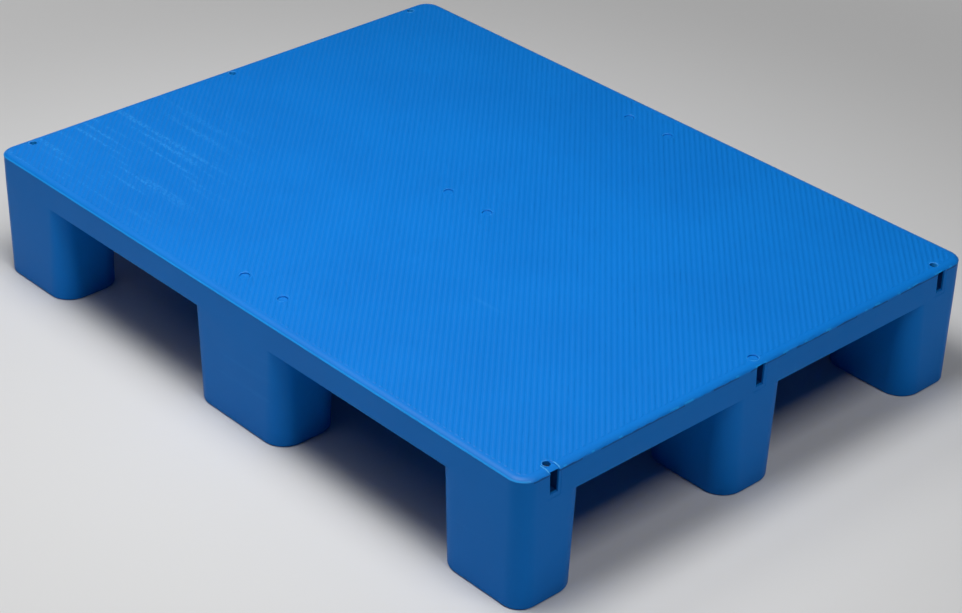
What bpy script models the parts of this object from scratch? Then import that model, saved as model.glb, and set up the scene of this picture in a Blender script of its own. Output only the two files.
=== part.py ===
"""Nine-leg plastic pallet with a closed deck.

Metres, +Z up. The origin is on the floor under the middle of the pallet, X runs along the long
side and Y along the short side.

The deck is one ribbed moulding. Nine closed leg cups are welded under it. Six half-length steel
tubes lie in blind channels under the deck skin, three from each short end. Each tube is trapped
between a stop plug at its inner end and a lock pin behind the slot that it entered by.
"""
import math

import bmesh
import bpy

# Overall size
LENGTH = 0.800
WIDTH = 0.600
HEIGHT = 0.140

# Deck moulding
DECK_DEPTH = 0.0317
DECK_SKIN = 0.0045
SKIRT_WALL = 0.004
DECK_CORNER_RADIUS = 0.0185
TOP_EDGE_RADIUS = 0.0088
TOP_EDGE_LEAN = math.radians(52)
RIB = 0.0025
RIB_RECESS = 0.0025
RECESS_MARGIN = 0.001
POCKET_DRAFT = 0.0003
BAY_CELLS = 4

# Legs
END_LEG_LENGTH = 0.109
MIDDLE_LEG_LENGTH = 0.138
LEG_WIDTH = 0.076
LEG_CORNER_RADIUS = 0.018
FREE_CORNER_GROWTH = 0.007
DECK_CORNER_GROWTH = 0.002
LEG_WALL = 0.004
LEG_FLOOR = 0.004
LEG_DRAFT = 0.0005
LEG_BOTTOM_RADIUS = 0.0025
LEG_CELL_DRAFT = 0.001
DRAIN_RADIUS = 0.004
DRAIN_HEIGHT = 0.010

# Steel tubes and the channels that they lie in
TUBE_WIDTH = 0.010
TUBE_DEPTH = 0.020
TUBE_WALL = 0.001
TUBE_CORNER_RADIUS = 0.0015
CHANNEL_SIDE_CLEARANCE = 0.0003
CHANNEL_TOP_CLEARANCE = 0.0007
CHANNEL_WALL = 0.0025
MOUTH_FLARE = 0.0008
MOUTH_LENGTH = 0.008

# Stop plugs at mid-length and lock pins at the ends
STOP_FROM_MIDDLE = 0.029
PIN_FROM_END = 0.011
CHANNEL_END_MARGIN = 0.0025
TUBE_END_CLEARANCE = 0.0005
HEAD_RADIUS = 0.0047
HEAD_THICKNESS = 0.0013
HEAD_SINK = 0.0012
SHANK_RADIUS = 0.0025
PIN_RADIUS = 0.0032
PIN_SINK = 0.0035
PIN_CLEARANCE = 0.0003

# The air kept between touching pieces, and how far a cutter runs past a face
GAP = 0.0003
PAST = 0.001

# Facets in a quarter turn
CORNER_STEPS = 6
FILLET_STEPS = 3
CROWN_STEPS = 4
ROUND_STEPS = 4

# Derived levels and places
DECK_BOTTOM = HEIGHT - DECK_DEPTH
DECK_CEILING = HEIGHT - DECK_SKIN
LEG_TOP = DECK_BOTTOM - GAP
CHANNEL_HALF = TUBE_WIDTH / 2 + CHANNEL_SIDE_CLEARANCE
CHANNEL_TOP = DECK_CEILING
CHANNEL_FLOOR = CHANNEL_TOP - TUBE_DEPTH - GAP - CHANNEL_TOP_CLEARANCE
CHANNEL_BLIND_END = STOP_FROM_MIDDLE - SHANK_RADIUS - CHANNEL_END_MARGIN
STRIP_HALF = CHANNEL_HALF + CHANNEL_WALL
PIN_X = LENGTH / 2 - PIN_FROM_END
TUBE_INNER_END = STOP_FROM_MIDDLE + SHANK_RADIUS + TUBE_END_CLEARANCE
TUBE_OUTER_END = PIN_X - PIN_RADIUS - TUBE_END_CLEARANCE
ROW_Y = WIDTH / 2 - LEG_WIDTH / 2
COLUMN_X = LENGTH / 2 - END_LEG_LENGTH / 2

ROWS = {"front": -ROW_Y, "middle": 0.0, "rear": ROW_Y}
COLUMNS = {"left": -COLUMN_X, "centre": 0.0, "right": COLUMN_X}
ENDS = {"left": -1, "right": 1}
HEADED_LOCK_PINS = {("middle", "right")}

# Colours: linear RGB, roughness, metallic
BLUE_DECK = ((0.010, 0.190, 0.640), 0.45, 0.0)
BLUE_LEG = ((0.010, 0.170, 0.600), 0.48, 0.0)
BLUE_PLUG = ((0.008, 0.130, 0.480), 0.50, 0.0)
BLUE_PIN = ((0.006, 0.080, 0.320), 0.55, 0.0)
STEEL = ((0.420, 0.430, 0.440), 0.38, 1.0)


def clear_scene():
    """Remove every object that the scene holds."""
    for thing in list(bpy.data.objects):
        bpy.data.objects.remove(thing, do_unlink=True)


def make_material(name, finish):
    """Return a Principled material from a (colour, roughness, metallic) finish."""
    colour, roughness, metallic = finish
    material = bpy.data.materials.new(name + "_finish")
    material.use_nodes = True
    shader = material.node_tree.nodes["Principled BSDF"]
    shader.inputs["Base Color"].default_value = (*colour, 1.0)
    shader.inputs["Roughness"].default_value = roughness
    shader.inputs["Metallic"].default_value = metallic
    material.diffuse_color = (*colour, 1.0)
    return material


def add_object(name, bm, finish=None):
    """Turn a bmesh into a linked object; without a finish it is a hidden cutter."""
    mesh = bpy.data.meshes.new(name)
    bm.to_mesh(mesh)
    bm.free()
    thing = bpy.data.objects.new(name, mesh)
    bpy.context.scene.collection.objects.link(thing)
    if finish is None:
        thing.hide_render = True
        thing.display_type = "WIRE"
    else:
        mesh.materials.append(make_material(name, finish))
    return thing


def shade(thing):
    """Shade an object smooth, keeping its edges sharp."""
    thing.data.shade_smooth()
    thing.data.set_sharp_from_angle(angle=math.radians(35))


def cut(target, cutter):
    """Cut one object out of another with an exact Boolean."""
    modifier = target.modifiers.new("cut_" + cutter.name, "BOOLEAN")
    modifier.operation = "DIFFERENCE"
    modifier.solver = "EXACT"
    modifier.object = cutter


def corner_arc(centre, radius, start_angle, steps):
    """Return the points of a quarter turn, or one point where the radius is nothing."""
    if radius <= 0:
        return [centre]
    points = []
    for step in range(steps + 1):
        angle = start_angle + math.pi / 2 * step / steps
        points.append((centre[0] + radius * math.cos(angle), centre[1] + radius * math.sin(angle)))
    return points


def outline(rect, radii, steps=CORNER_STEPS):
    """Return a rectangle's outline, anticlockwise, with a radius for each corner.

    rect is (x0, x1, y0, y1); radii go round from the (x0, y0) corner.
    """
    x0, x1, y0, y1 = rect
    inward = [(x0, y0, 1, 1), (x1, y0, -1, 1), (x1, y1, -1, -1), (x0, y1, 1, -1)]
    points = []
    for index, (x, y, to_x, to_y) in enumerate(inward):
        radius = radii[index]
        centre = (x + to_x * radius, y + to_y * radius)
        points += corner_arc(centre, radius, math.pi + index * math.pi / 2, steps)
    return points


def inset_outline(rect, radii, inset, steps=CORNER_STEPS):
    """Return the outline moved inwards, with each round corner keeping its centre."""
    x0, x1, y0, y1 = rect
    smaller = (x0 + inset, x1 - inset, y0 + inset, y1 - inset)
    reduced = [radius - inset if radius > 0 else 0 for radius in radii]
    return outline(smaller, reduced, steps)


def add_rings(bm, rings, capped=True):
    """Skin a stack of rings of points; capped closes the ends, otherwise the last meets the first."""
    loops = [[bm.verts.new(point) for point in ring] for ring in rings]
    count = len(loops[0])
    pairs = list(zip(loops, loops[1:]))
    if not capped:
        pairs.append((loops[-1], loops[0]))
    for lower, upper in pairs:
        for index in range(count):
            after = (index + 1) % count
            bm.faces.new((lower[index], lower[after], upper[after], upper[index]))
    if capped:
        bm.faces.new(list(reversed(loops[0])))
        bm.faces.new(loops[-1])


def at_height(points, z):
    """Lift plan points to a height."""
    return [(x, y, z) for x, y in points]


def add_pocket(bm, rect, radii, low, high, draft_low, draft_high, foot_radii=None):
    """Add an upright drafted block for cutting a pocket; its corners may be rounder at its foot."""
    below = at_height(inset_outline(rect, foot_radii or radii, draft_low), low)
    above = at_height(inset_outline(rect, radii, draft_high), high)
    add_rings(bm, [below, above])


def add_turned(bm, x, y, profile):
    """Add an upright turned solid; profile is (radius, z) from bottom to top."""
    count = 4 * ROUND_STEPS
    rings = []
    for radius, z in profile:
        turns = [2 * math.pi * step / count for step in range(count)]
        rings.append([(x + radius * math.cos(turn), y + radius * math.sin(turn), z) for turn in turns])
    add_rings(bm, rings)


def leg_rect(column, row):
    """Return a leg's plan rectangle at its top."""
    length = MIDDLE_LEG_LENGTH if column == "centre" else END_LEG_LENGTH
    x, y = COLUMNS[column], ROWS[row]
    return (x - length / 2, x + length / 2, y - LEG_WIDTH / 2, y + LEG_WIDTH / 2)


def leg_radii(column, row, foot=0):
    """Return a leg's corner radii, from foot 0 at its top to 1 at the floor.

    The corner under a deck corner follows the deck. Every corner grows rounder downwards.
    """
    deck_corners = [("left", "front"), ("right", "front"), ("right", "rear"), ("left", "rear")]
    radii = [LEG_CORNER_RADIUS + FREE_CORNER_GROWTH * foot] * 4
    if (column, row) in deck_corners:
        radii[deck_corners.index((column, row))] = DECK_CORNER_RADIUS + DECK_CORNER_GROWTH * foot
    return radii


def leg_cells(column, row, rib_y, foot=0):
    """Yield the four cells inside a leg's wall, each with its one round corner.

    rib_y is half the width of what divides the leg along X, and foot is as in leg_radii.
    """
    x0, x1, y0, y1 = leg_rect(column, row)
    x, y = COLUMNS[column], ROWS[row]
    inner = [radius - LEG_WALL for radius in leg_radii(column, row, foot)]
    left = (x0 + LEG_WALL, x - RIB / 2)
    right = (x + RIB / 2, x1 - LEG_WALL)
    front = (y0 + LEG_WALL, y - rib_y)
    rear = (y + rib_y, y1 - LEG_WALL)
    corners = [(left, front), (right, front), (right, rear), (left, rear)]
    for index, (across, along) in enumerate(corners):
        radii = [0, 0, 0, 0]
        radii[index] = inner[index]
        yield (*across, *along), radii


def bay_spans(start, stop):
    """Split the way between two leg faces into equal cells with ribs between them."""
    pitch = (stop - start + RIB) / BAY_CELLS
    return [(start + index * pitch, start + (index + 1) * pitch - RIB) for index in range(BAY_CELLS)]


def mirrored(spans):
    """Return spans on the positive side with their mirror images."""
    return [(-high, -low) for low, high in reversed(spans)] + spans


def deck_cells():
    """Return every pocket under the deck as (rect, radii)."""
    x_bay = bay_spans(MIDDLE_LEG_LENGTH / 2, LENGTH / 2 - END_LEG_LENGTH)
    x_leg_middle = [(RIB / 2, MIDDLE_LEG_LENGTH / 2 - LEG_WALL)]
    x_leg_end = [
        (LENGTH / 2 - END_LEG_LENGTH + LEG_WALL, COLUMN_X - RIB / 2),
        (COLUMN_X + RIB / 2, LENGTH / 2 - SKIRT_WALL),
    ]
    y_bay = bay_spans(LEG_WIDTH / 2, WIDTH / 2 - LEG_WIDTH)
    y_leg_middle = [(STRIP_HALF, LEG_WIDTH / 2 - LEG_WALL)]
    y_leg_end = [
        (WIDTH / 2 - LEG_WIDTH + LEG_WALL, ROW_Y - STRIP_HALF),
        (ROW_Y + STRIP_HALF, WIDTH / 2 - SKIRT_WALL),
    ]
    square = [0, 0, 0, 0]
    cells = []
    for x_span in mirrored(x_bay):
        for y_span in mirrored(y_leg_middle + y_bay + y_leg_end):
            cells.append(((*x_span, *y_span), square))
    for x_span in mirrored(x_leg_middle + x_leg_end):
        for y_span in mirrored(y_bay):
            cells.append(((*x_span, *y_span), square))
    for column in COLUMNS:
        for row in ROWS:
            cells += leg_cells(column, row, STRIP_HALF)
    core_end = CHANNEL_BLIND_END - CHANNEL_WALL
    for y in ROWS.values():
        for x_span in mirrored([(RIB / 2, core_end)]):
            cells.append(((*x_span, y - CHANNEL_HALF, y + CHANNEL_HALF), square))
    return cells


def add_rib_recess(bm):
    """Add the grid-shaped block that sets the ribs back from the skirt between the legs."""
    middle_x = MIDDLE_LEG_LENGTH / 2 + RECESS_MARGIN
    end_x = LENGTH / 2 - END_LEG_LENGTH - RECESS_MARGIN
    skirt_x = LENGTH / 2 - SKIRT_WALL - RECESS_MARGIN
    middle_y = LEG_WIDTH / 2 + RECESS_MARGIN
    end_y = WIDTH / 2 - LEG_WIDTH - RECESS_MARGIN
    skirt_y = WIDTH / 2 - SKIRT_WALL - RECESS_MARGIN
    xs = [-skirt_x, -end_x, -middle_x, middle_x, end_x, skirt_x]
    ys = [-skirt_y, -end_y, -middle_y, middle_y, end_y, skirt_y]
    low = DECK_BOTTOM - PAST
    grid = [[bm.verts.new((x, y, low)) for y in ys] for x in xs]
    faces = []
    for i in range(5):
        for j in range(5):
            if i % 2 == 0 and j % 2 == 0:
                continue
            ring = (grid[i][j], grid[i][j + 1], grid[i + 1][j + 1], grid[i + 1][j])
            faces.append(bm.faces.new(ring))
    for column in grid:
        for vert in column:
            if not vert.link_faces:
                bm.verts.remove(vert)
    lifted = bmesh.ops.extrude_face_region(bm, geom=faces, use_keep_orig=True)
    raised = [item for item in lifted["geom"] if isinstance(item, bmesh.types.BMVert)]
    bmesh.ops.translate(bm, verts=raised, vec=(0, 0, RIB_RECESS + PAST))
    bmesh.ops.recalc_face_normals(bm, faces=bm.faces)


def add_channel(bm, side, y):
    """Add the space of one tube channel, flared where it leaves the short side."""
    top_half = CHANNEL_HALF + MOUTH_FLARE
    sections = [
        (CHANNEL_BLIND_END, CHANNEL_HALF),
        (LENGTH / 2 - MOUTH_LENGTH, CHANNEL_HALF),
        (LENGTH / 2 + PAST, top_half),
    ]
    rings = []
    for x, half in sections:
        ring = [(y - CHANNEL_HALF, CHANNEL_FLOOR), (y + CHANNEL_HALF, CHANNEL_FLOOR),
                (y + half, CHANNEL_TOP), (y - half, CHANNEL_TOP)]
        rings.append([(side * x, across, up) for across, up in ring])
    if side < 0:
        rings = [list(reversed(ring)) for ring in rings]
    add_rings(bm, rings)


def head_seat():
    """Return the height of the step that a plug's head sits over."""
    return HEIGHT - HEAD_SINK - HEAD_THICKNESS - GAP


def add_headed_hole(bm, x, y, shank_radius):
    """Add the stepped hole of a headed plug, from the channel to above the deck."""
    seat = head_seat()
    shank = shank_radius + PIN_CLEARANCE
    head = HEAD_RADIUS + PIN_CLEARANCE
    add_turned(bm, x, y, [(shank, CHANNEL_TOP - PAST), (shank, seat), (head, seat), (head, HEIGHT + PAST)])


def add_deck_holes(bm):
    """Add the holes of all stop plugs and lock pins."""
    for row, y in ROWS.items():
        for end, side in ENDS.items():
            add_headed_hole(bm, side * STOP_FROM_MIDDLE, y, SHANK_RADIUS)
            if (row, end) in HEADED_LOCK_PINS:
                add_headed_hole(bm, side * PIN_X, y, PIN_RADIUS)
            else:
                bore = PIN_RADIUS + PIN_CLEARANCE
                add_turned(bm, side * PIN_X, y, [(bore, CHANNEL_TOP - PAST), (bore, HEIGHT + PAST)])


def make_deck():
    """Model the deck moulding: skin, skirt, ribs, tube channels and holes."""
    rect = (-LENGTH / 2, LENGTH / 2, -WIDTH / 2, WIDTH / 2)
    radii = [DECK_CORNER_RADIUS] * 4
    rings = [at_height(outline(rect, radii), DECK_BOTTOM)]
    for step in range(CROWN_STEPS + 1):
        angle = TOP_EDGE_LEAN * (1 - step / CROWN_STEPS)
        inset = TOP_EDGE_RADIUS * (math.sin(TOP_EDGE_LEAN) - math.sin(angle))
        z = HEIGHT - TOP_EDGE_RADIUS * (1 - math.cos(angle))
        rings.append(at_height(inset_outline(rect, radii, inset), z))
    bm = bmesh.new()
    add_rings(bm, rings)
    deck = add_object("deck_body", bm, BLUE_DECK)
    shade(deck)

    recess = bmesh.new()
    add_rib_recess(recess)
    cut(deck, add_object("rib_recess_cutter", recess))

    pockets = bmesh.new()
    for cell, corner_radii in deck_cells():
        add_pocket(pockets, cell, corner_radii, DECK_BOTTOM - PAST, DECK_CEILING, 0, POCKET_DRAFT)
    cut(deck, add_object("deck_pocket_cutter", pockets))

    channels = bmesh.new()
    for y in ROWS.values():
        for side in ENDS.values():
            add_channel(channels, side, y)
    bmesh.ops.triangulate(channels, faces=channels.faces)
    cut(deck, add_object("channel_cutter", channels))

    holes = bmesh.new()
    add_deck_holes(holes)
    cut(deck, add_object("deck_hole_cutter", holes))


def leg_section(column, row, extra, z):
    """Return a leg's outline at a height, drafted inwards towards the floor."""
    foot = 1 - z / LEG_TOP
    outside = inset_outline(leg_rect(column, row), leg_radii(column, row, foot), LEG_DRAFT * foot + extra)
    return at_height(outside, z)


def make_leg(column, row):
    """Model one leg cup: rounded foot, cross ribs, open top and a drain hole."""
    name = f"leg_{row}_{column}"
    rings = []
    for step in range(FILLET_STEPS + 1):
        angle = math.pi / 2 * step / FILLET_STEPS
        extra = LEG_BOTTOM_RADIUS * (1 - math.sin(angle))
        rings.append(leg_section(column, row, extra, LEG_BOTTOM_RADIUS * (1 - math.cos(angle))))
    rings.append(leg_section(column, row, 0, LEG_TOP))
    bm = bmesh.new()
    add_rings(bm, rings)
    leg = add_object(name, bm, BLUE_LEG)
    shade(leg)

    hollow = bmesh.new()
    tops = leg_cells(column, row, RIB / 2)
    feet = leg_cells(column, row, RIB / 2, 1)
    for (cell, top_radii), (_, foot_radii) in zip(tops, feet):
        add_pocket(hollow, cell, top_radii, LEG_FLOOR, LEG_TOP + PAST, LEG_CELL_DRAFT, 0, foot_radii)
    cut(leg, add_object(name + "_hollow_cutter", hollow))

    drain = bmesh.new()
    profile = [(DRAIN_RADIUS, -PAST), (DRAIN_RADIUS, DRAIN_HEIGHT)]
    add_turned(drain, COLUMNS[column], ROWS[row], profile)
    cut(leg, add_object(name + "_drain_cutter", drain))


def tube_ring(x, y, z, inset):
    """Return one rounded rectangular ring of a tube's section at x."""
    rect = (y - TUBE_WIDTH / 2, y + TUBE_WIDTH / 2, z - TUBE_DEPTH / 2, z + TUBE_DEPTH / 2)
    section = inset_outline(rect, [TUBE_CORNER_RADIUS] * 4, inset, FILLET_STEPS)
    return [(x, across, up) for across, up in section]


def make_tube(row, end):
    """Model one steel reinforcing tube, open at both ends."""
    y = ROWS[row]
    z = CHANNEL_FLOOR + GAP + TUBE_DEPTH / 2
    low, high = sorted((ENDS[end] * TUBE_INNER_END, ENDS[end] * TUBE_OUTER_END))
    rings = [tube_ring(low, y, z, 0), tube_ring(high, y, z, 0)]
    rings += [tube_ring(high, y, z, TUBE_WALL), tube_ring(low, y, z, TUBE_WALL)]
    bm = bmesh.new()
    add_rings(bm, rings, capped=False)
    shade(add_object(f"steel_tube_{row}_{end}", bm, STEEL))


def headed_profile(shank_radius):
    """Return the turned profile of a headed plug that stands on the channel floor."""
    top = HEIGHT - HEAD_SINK
    under_head = top - HEAD_THICKNESS
    foot = CHANNEL_FLOOR + GAP
    return [(shank_radius, foot), (shank_radius, under_head), (HEAD_RADIUS, under_head), (HEAD_RADIUS, top)]


def make_turned(name, x, y, profile, finish):
    """Model one upright turned piece."""
    bm = bmesh.new()
    add_turned(bm, x, y, profile)
    shade(add_object(name, bm, finish))


def make_pins(row, end):
    """Model the stop plug and the lock pin that trap one tube."""
    side, y = ENDS[end], ROWS[row]
    stop = headed_profile(SHANK_RADIUS)
    make_turned(f"stop_plug_{row}_{end}", side * STOP_FROM_MIDDLE, y, stop, BLUE_PLUG)
    if (row, end) in HEADED_LOCK_PINS:
        profile = headed_profile(PIN_RADIUS)
    else:
        profile = [(PIN_RADIUS, CHANNEL_FLOOR + GAP), (PIN_RADIUS, HEIGHT - PIN_SINK)]
    make_turned(f"lock_pin_{row}_{end}", side * PIN_X, y, profile, BLUE_PIN)


def main():
    """Build the pallet."""
    clear_scene()
    make_deck()
    for row in ROWS:
        for column in COLUMNS:
            make_leg(column, row)
        for end in ENDS:
            make_tube(row, end)
            make_pins(row, end)


main()
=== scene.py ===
"""Looks for the nine-leg plastic pallet with a closed, ribbed deck.

Metres, +Z up. The origin is on the floor under the middle of the pallet, X runs along the long
side and Y along the short side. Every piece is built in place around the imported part, rides the
one body "root" and stands for the node of the same name.
"""
from __future__ import annotations

import logging
import math
from dataclasses import dataclass, replace
from enum import Enum
from functools import reduce

import bmesh
import bpy
from mathutils import Matrix, Vector, noise


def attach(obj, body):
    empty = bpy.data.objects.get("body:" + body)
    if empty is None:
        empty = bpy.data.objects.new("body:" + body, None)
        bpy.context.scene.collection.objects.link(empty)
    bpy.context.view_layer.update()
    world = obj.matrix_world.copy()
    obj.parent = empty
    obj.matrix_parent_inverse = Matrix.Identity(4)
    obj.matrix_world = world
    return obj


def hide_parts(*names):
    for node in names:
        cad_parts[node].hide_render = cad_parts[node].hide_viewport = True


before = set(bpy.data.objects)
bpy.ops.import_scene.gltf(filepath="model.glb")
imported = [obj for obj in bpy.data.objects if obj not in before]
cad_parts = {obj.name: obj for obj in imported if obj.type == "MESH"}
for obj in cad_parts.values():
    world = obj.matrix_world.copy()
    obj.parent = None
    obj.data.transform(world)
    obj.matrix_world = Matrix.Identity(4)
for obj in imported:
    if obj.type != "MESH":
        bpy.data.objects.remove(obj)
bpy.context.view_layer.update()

LOG = logging.getLogger("pallet")
BODY = "root"
SOFT_EDGE = 0.0004
TREAD_FACETS = 20
TREAD_SHARPNESS = 12
BURR_SHARPNESS = 60
BEAD_SECTION = ((-1, -1), (1, -1), (0.75, 0.4), (0.3, 0.9), (-0.3, 0.9), (-0.75, 0.4))

Point = tuple[float, float]
Place = tuple[float, float, float]
Colour = tuple[float, float, float]


class Row(Enum):
    """A row of legs and tubes, from the near long side to the far one."""

    FRONT = "front"
    MIDDLE = "middle"
    REAR = "rear"


class Column(Enum):
    """A column of legs, from one short side to the other."""

    LEFT = "left"
    CENTRE = "centre"
    RIGHT = "right"


class End(Enum):
    """A short side of the pallet."""

    LEFT = "left"
    RIGHT = "right"

    @property
    def side(self) -> int:
        """Return the sign of X at this end."""
        return -1 if self is End.LEFT else 1


class Axis(Enum):
    """The way that a set of ribs runs."""

    ALONG = 0.0
    ACROSS = math.pi / 2


# ---- node helpers


class Graph:
    """A thin hand on a node tree: adds nodes and wires them by socket name."""

    def __init__(self, tree: bpy.types.NodeTree) -> None:
        """Keep the tree that is being wired."""
        self.tree = tree

    def add(self, kind: str, inputs: dict | None = None, **settings: object) -> bpy.types.Node:
        """Add a node.

        Args:
            kind: The node's type name.
            inputs: A socket or a plain value for each input, by name or number.
            **settings: Attributes to set on it.

        Returns:
            The new node.
        """
        node = self.tree.nodes.new(kind)
        for key, value in settings.items():
            setattr(node, key, value)
        self.feed(node, inputs or {})
        return node

    def feed(self, node: bpy.types.Node, inputs: dict) -> None:
        """Link sockets to a node's inputs, or give them plain values.

        Args:
            node: The node that owns the inputs.
            inputs: A socket or a plain value for each input, by name or number.
        """
        for index, value in inputs.items():
            if isinstance(value, bpy.types.NodeSocket):
                self.tree.links.new(value, node.inputs[index])
            else:
                node.inputs[index].default_value = value

    def math(self, operation: str, first: object, second: object = 0.0) -> bpy.types.NodeSocket:
        """Return the result of a math node on two sockets or numbers."""
        return self.add("ShaderNodeMath", {0: first, 1: second}, operation=operation).outputs[0]

    def product(self, *factors: object) -> bpy.types.NodeSocket:
        """Return the product of sockets and numbers, from the first on."""
        return reduce(lambda first, second: self.math("MULTIPLY", first, second), factors)

    def noise(self, vector: bpy.types.NodeSocket, scale: float, detail: float) -> bpy.types.NodeSocket:
        """Return a noise value, given its cells for each metre and its finer octaves."""
        inputs = {"Vector": vector, "Scale": scale, "Detail": detail}
        return self.add("ShaderNodeTexNoise", inputs).outputs["Fac"]

    def stretch(self, vector: bpy.types.NodeSocket, scale: Place, turn: float = 0.0) -> bpy.types.NodeSocket:
        """Return coordinates turned about Z, in radians, and stretched along each axis."""
        inputs = {"Vector": vector, "Rotation": (0.0, 0.0, turn), "Scale": scale}
        return self.add("ShaderNodeMapping", inputs).outputs[0]

    def window(self, value: bpy.types.NodeSocket, low: float, high: float,
               to_low: float = 0.0, to_high: float = 1.0) -> bpy.types.NodeSocket:
        """Return a value whose span from low to high is mapped smoothly onto another."""
        inputs = {"Value": value, "From Min": low, "From Max": high, "To Min": to_low, "To Max": to_high}
        return self.add("ShaderNodeMapRange", inputs, interpolation_type="SMOOTHSTEP").outputs["Result"]

    def blend(self, factor: object, first: object, second: object) -> bpy.types.NodeSocket:
        """Mix two colours.

        Args:
            factor: The share of the second colour.
            first: A socket or a linear colour.
            second: A socket or a linear colour.

        Returns:
            The mixed colour.
        """
        inputs = {"Factor": factor}
        for index, value in ((6, first), (7, second)):
            inputs[index] = value if isinstance(value, bpy.types.NodeSocket) else (*value, 1.0)
        return self.add("ShaderNodeMix", inputs, data_type="RGBA").outputs[2]


def new_material(name: str) -> tuple[bpy.types.Material, Graph, bpy.types.Node, bpy.types.NodeSocket]:
    """Start a material.

    Args:
        name: The material's name.

    Returns:
        The material, its graph, its Principled shader and the object coordinates.
    """
    material = bpy.data.materials.new(name)
    material.use_nodes = True
    graph = Graph(material.node_tree)
    shader = material.node_tree.nodes["Principled BSDF"]
    place = graph.add("ShaderNodeTexCoord").outputs["Object"]
    return material, graph, shader, place


# ---- finishes


@dataclass(frozen=True)
class Plastic:
    """Moulded polyethylene, satin, with the marks of its mould and of handling.

    Colours are linear. Depths are in metres, and scales are cells for each metre.
    """

    name: str
    slot: str
    colour: Colour
    pale: Colour
    roughness: float = 0.42
    specular: float = 0.22
    drift: float = 0.45
    drift_scale: float = 7.0
    grain_scale: float = 1900.0
    grain_depth: float = 0.00003
    ripple_scale: float = 26.0
    ripple_depth: float = 0.00045
    scuffs: float = 0.25
    scuff_turn: float = 0.6
    worn_corner: bool = False
    drift_span: Point = (0.3, 0.7)
    drift_tint: Colour = (0.7, 0.84, 0.88)
    streak_scale: Place = (3.0, 95.0, 95.0)
    streak_span: Point = (0.62, 0.74)
    patch_scale: float = 11.0
    patch_span: Point = (0.5, 0.72)
    dull_scale: float = 60.0
    dull_range: float = 0.10
    scuff_dull: float = 0.18
    worn_place: Place = (-0.33, -0.23, 0.14)
    worn_reach: Point = (0.05, 0.22)
    drag_scale: Place = (7.0, 150.0, 20.0)
    drag_turn: float = 0.03
    drag_span: Point = (0.53, 0.63)
    dot_scale: float = 420.0
    dot_span: Point = (0.46, 0.58)
    worn_share: float = 0.8

    def material(self) -> bpy.types.Material:
        """Make the finish, once.

        Returns:
            The node material.
        """
        found = bpy.data.materials.get(self.name)
        if found:
            return found
        material, graph, shader, place = new_material(self.name)
        cloud = graph.window(graph.noise(place, self.drift_scale, 3.0), *self.drift_span)
        streaks = graph.noise(graph.stretch(place, self.streak_scale, self.scuff_turn), 1.0, 4.0)
        patches = graph.window(graph.noise(place, self.patch_scale, 2.0), *self.patch_span)
        scuff = graph.product(graph.window(streaks, *self.streak_span), patches, self.scuffs)
        if self.worn_corner:
            scuff = graph.math("MAXIMUM", scuff, self.corner_wear(graph, place))
        tint = graph.blend(graph.product(cloud, self.drift), self.colour, self.drifted())
        dull = graph.product(graph.noise(place, self.dull_scale, 3.0), self.dull_range)
        dull = graph.math("ADD", dull, graph.product(scuff, self.scuff_dull))
        graph.feed(shader, {"Base Color": graph.blend(scuff, tint, self.pale),
                            "Roughness": graph.math("ADD", dull, self.roughness - self.dull_range / 2),
                            "Specular IOR Level": self.specular})
        self.relief(graph, shader, place, scuff)
        return material

    def drifted(self) -> Colour:
        """Return the darker blue that the pigment drifts to."""
        return tuple(level * share for level, share in zip(self.colour, self.drift_tint))

    def corner_wear(self, graph: Graph, place: bpy.types.NodeSocket) -> bpy.types.NodeSocket:
        """Add the dotted drag marks by the left front corner of the deck.

        Args:
            graph: The material's graph.
            place: The object coordinates.

        Returns:
            The share of rubbed plastic, from 0 to 1.
        """
        offset = graph.add("ShaderNodeVectorMath", {0: place, 1: self.worn_place}, operation="DISTANCE")
        near = graph.window(offset.outputs["Value"], *self.worn_reach, 1.0, 0.0)
        drags = graph.noise(graph.stretch(place, self.drag_scale, self.drag_turn), 1.0, 2.0)
        drags = graph.window(drags, *self.drag_span)
        dots = graph.window(graph.noise(place, self.dot_scale, 1.0), *self.dot_span)
        return graph.product(drags, dots, near, self.worn_share)

    def relief(self, graph: Graph, shader: bpy.types.Node, place: bpy.types.NodeSocket,
               scuff: bpy.types.NodeSocket) -> None:
        """Wire the fine grain, the slow ripple of cooled plastic and the scratches as bump.

        Args:
            graph: The material's graph.
            shader: The Principled shader.
            place: The object coordinates.
            scuff: The share of rubbed plastic.
        """
        grain = graph.noise(place, self.grain_scale, 2.0)
        ripple = graph.noise(place, self.ripple_scale, 1.0)
        normal = None
        layers = ((ripple, self.ripple_depth), (grain, self.grain_depth), (scuff, -self.grain_depth * 2))
        for height, depth in layers:
            bump = graph.add("ShaderNodeBump", {"Distance": abs(depth), "Height": height}, invert=depth < 0)
            if normal is not None:
                graph.feed(bump, {"Normal": normal})
            normal = bump.outputs["Normal"]
        graph.feed(shader, {"Normal": normal})


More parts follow.
